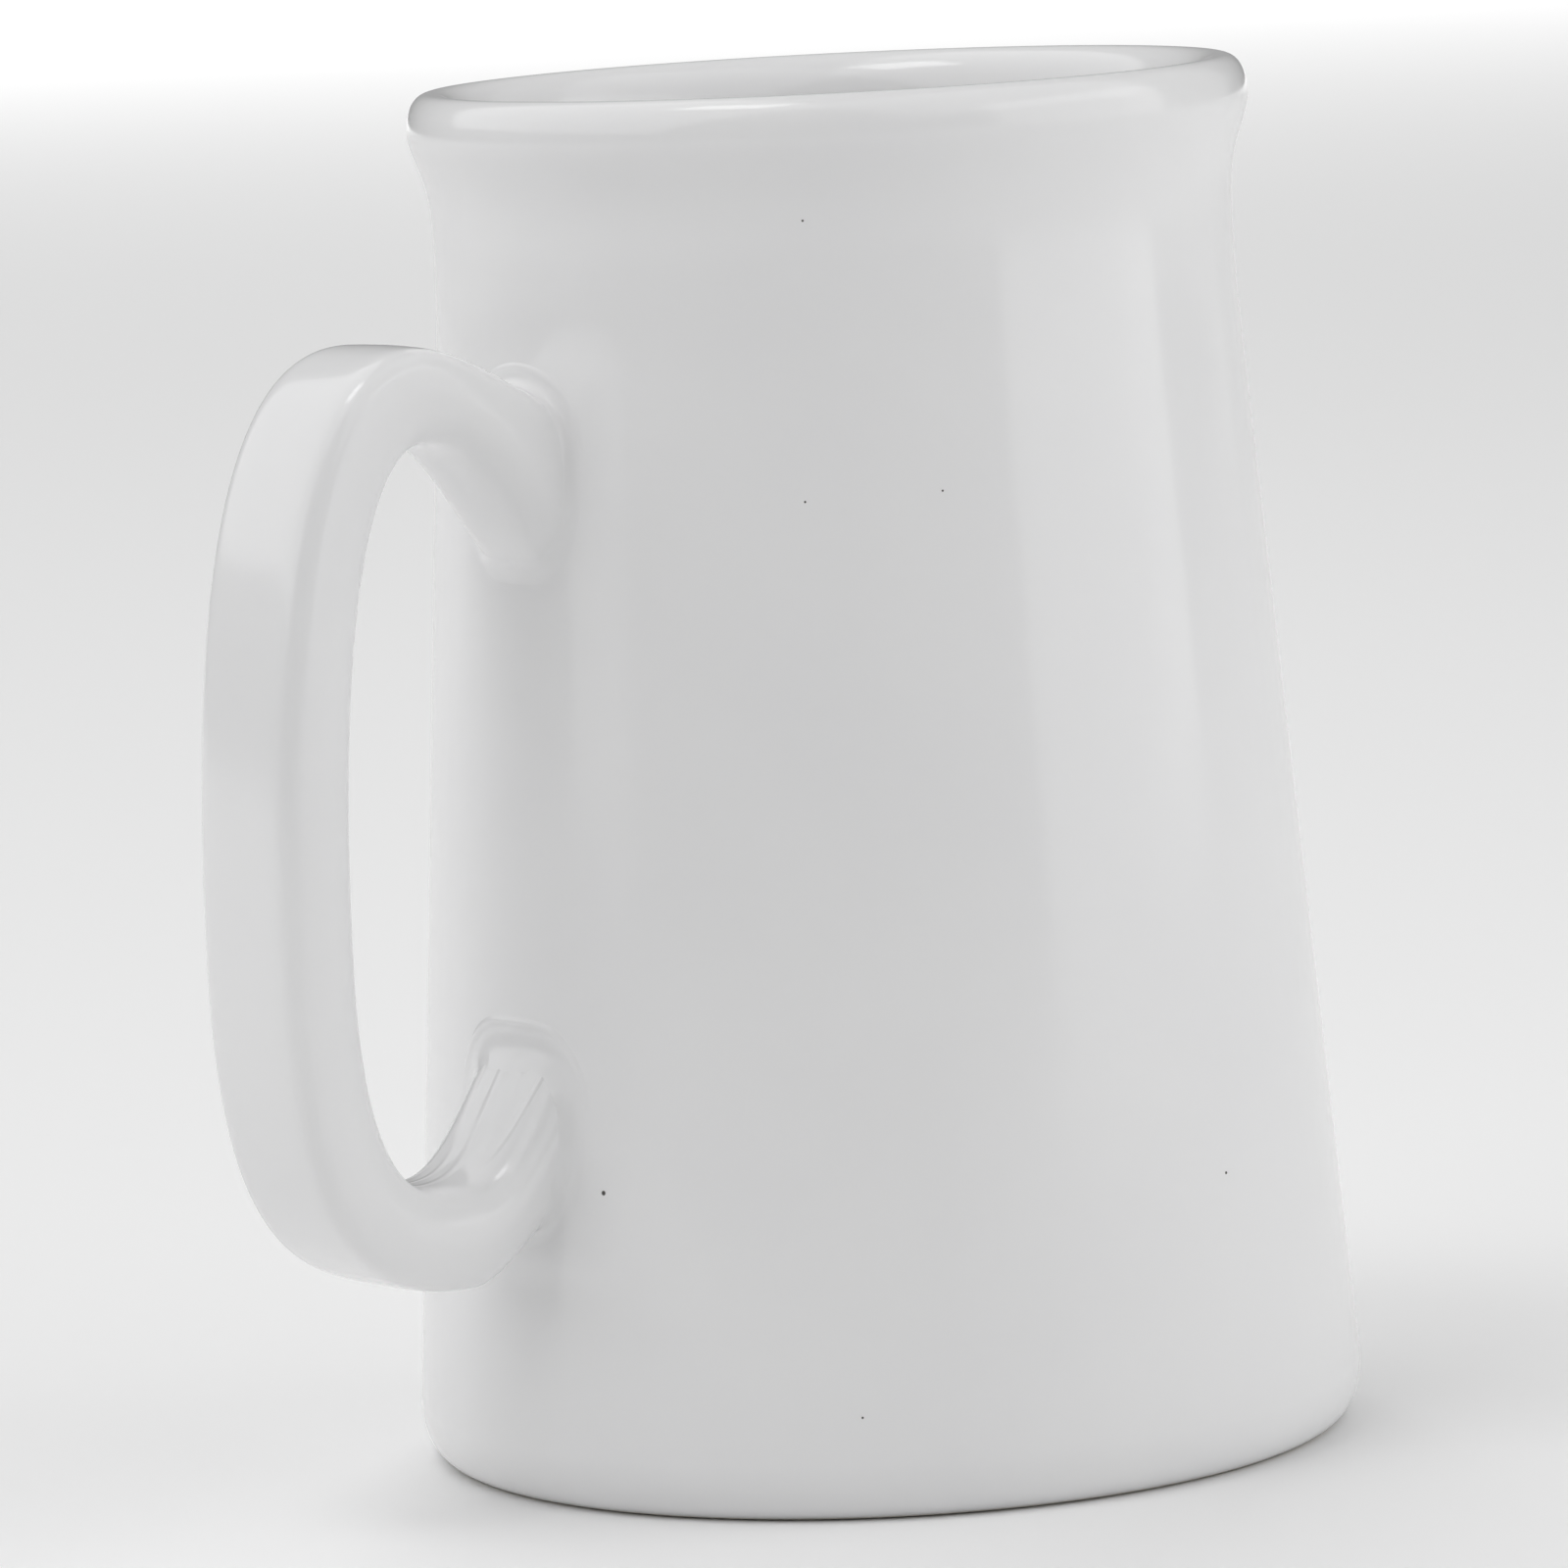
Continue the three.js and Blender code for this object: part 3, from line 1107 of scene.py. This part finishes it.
@dataclass
class Studio:
    """A white table, soft light from both sides and above, and the camera."""

    cup: Cup
    lights: tuple[Softbox, ...] = (
        Softbox("left_key_softbox", -124.0, 48, 1.6, (3.0, 2.4), 23.5),
        Softbox("right_softbox", 36.5, 12, 1.5, (1.6, 1.2), 6.6),
        Softbox("right_back_softbox", 76.5, 20, 1.5, (1.6, 1.2), 1.4),
        Softbox("right_overhead_softbox", 21.5, 50, 1.5, (2.3, 1.7), 8.6),
        Softbox("top_softbox", -85.0, 68, 1.4, (0.5, 0.35), 2.0),
    )
    table_light: Softbox = Softbox(
        "table_softbox", 141.5, 70, 2.2, (3.5, 2.0), 120.0, shines=False)
    table_light_aim: float = 3.6  # metres behind the mug
    wall_light: float = 0.12  # strength of the light from the white walls
    table_radius: float = 6.0  # metres
    camera_side: float = 231.5  # degrees round the cup, 0 is along +X, 90 along +Y
    camera_height: float = 7.05  # degrees above level, seen from the middle of the cup
    camera_distance: float = 0.8686  # metres
    camera_aim: tuple[float, float, float] = (-0.470, -0.143, -2.892)  # yaw, pitch, roll, degrees
    lens: float = 214.8  # mm, on a 36 mm sensor

    def build(self) -> None:
        """Set up the table, the light and the camera."""
        self.table()
        middle = self.cup.axis + Vector((0, 0, self.cup.height / 2 * MM))
        for softbox in self.lights:
            softbox.build(middle)
        around = math.radians(self.table_light.azimuth)
        behind = Vector((math.sin(around), -math.cos(around), 0)) * self.table_light_aim
        self.table_light.build(self.cup.axis + behind)
        self.room()
        self.camera()

    def table(self) -> None:
        """Lay the pale table top."""
        deselect_all()
        bpy.ops.mesh.primitive_circle_add(vertices=96, radius=self.table_radius, fill_type="NGON")
        top = newest("table_top")
        paint = bpy.data.materials.new("matt_white_laminate")
        paint.use_nodes = True
        shader = paint.node_tree.nodes["Principled BSDF"]
        shader.inputs["Base Color"].default_value = linear("#F0F0F0")
        shader.inputs["Roughness"].default_value = 0.9
        top.data.materials.append(paint)

    def room(self) -> None:
        """Light the room evenly from its white walls."""
        world = bpy.data.worlds.new("white_room")
        world.use_nodes = True
        world.node_tree.nodes["Background"].inputs["Color"].default_value = (1, 1, 1, 1)
        world.node_tree.nodes["Background"].inputs["Strength"].default_value = self.wall_light
        bpy.context.scene.world = world
        bpy.context.scene.view_settings.view_transform = "Standard"

    def camera(self) -> None:
        """Place the camera, a little above the mug and with the handle on its left."""
        height = math.radians(self.camera_height)
        forward = Vector((-math.cos(height), 0, -math.sin(height)))
        right = Vector((0, 1, 0))
        up = Vector((-math.sin(height), 0, math.cos(height)))
        place = Vector((0, 0, self.cup.height / 2 * MM)) - forward * self.camera_distance
        yaw, pitch, roll = (math.radians(angle) for angle in self.camera_aim)
        forward, right = (
            forward * math.cos(yaw) + right * math.sin(yaw),
            right * math.cos(yaw) - forward * math.sin(yaw),
        )
        forward, up = (
            forward * math.cos(pitch) + up * math.sin(pitch),
            up * math.cos(pitch) - forward * math.sin(pitch),
        )
        right, up = (
            right * math.cos(roll) + up * math.sin(roll),
            up * math.cos(roll) - right * math.sin(roll),
        )
        round_cup = Matrix.Rotation(math.radians(self.camera_side), 4, "Z")
        axes = Matrix((right, up, -forward)).transposed().to_4x4()
        axes.translation = place
        lens = bpy.data.cameras.new("camera")
        lens.lens = self.lens
        lens.sensor_width = 36.0
        lens.clip_end = 50.0
        camera = bpy.data.objects.new("camera", lens)
        camera.matrix_world = Matrix.Translation(self.cup.axis) @ round_cup @ axes
        bpy.context.scene.collection.objects.link(camera)
        bpy.context.scene.camera = camera


# ---------------------------------------------------------------- all of it


def main() -> None:
    """Build the mug piece by piece, then the studio round it."""
    logging.basicConfig(level=logging.INFO, format="%(name)s: %(message)s")
    cup_maker = Cup()
    cup = cup_maker.build()
    cup_maker.dress(cup)
    log.info("%s: %d faces", cup.name, len(cup.data.polygons))
    handle_maker = Handle(cup_maker)
    handle = handle_maker.build()
    handle_maker.dress(handle)
    log.info("%s: %d faces", handle.name, len(handle.data.polygons))
    joints = (
        SlipJoint(
            cup_maker, Root.UPPER, "upper_joint_fillet", "upper_slip_joint", leg=1.4, bead=0.1),
        SlipJoint(
            cup_maker, Root.LOWER, "lower_joint_fillet", "lower_slip_joint", leg=2.0, bead=0.24),
    )
    for joint_maker in joints:
        ring = joint_maker.build(cup, handle)
        joint_maker.dress(ring)
        log.info("%s: %d faces", ring.name, len(ring.data.polygons))
    Studio(cup_maker).build()


if __name__ == "__main__":
    main()
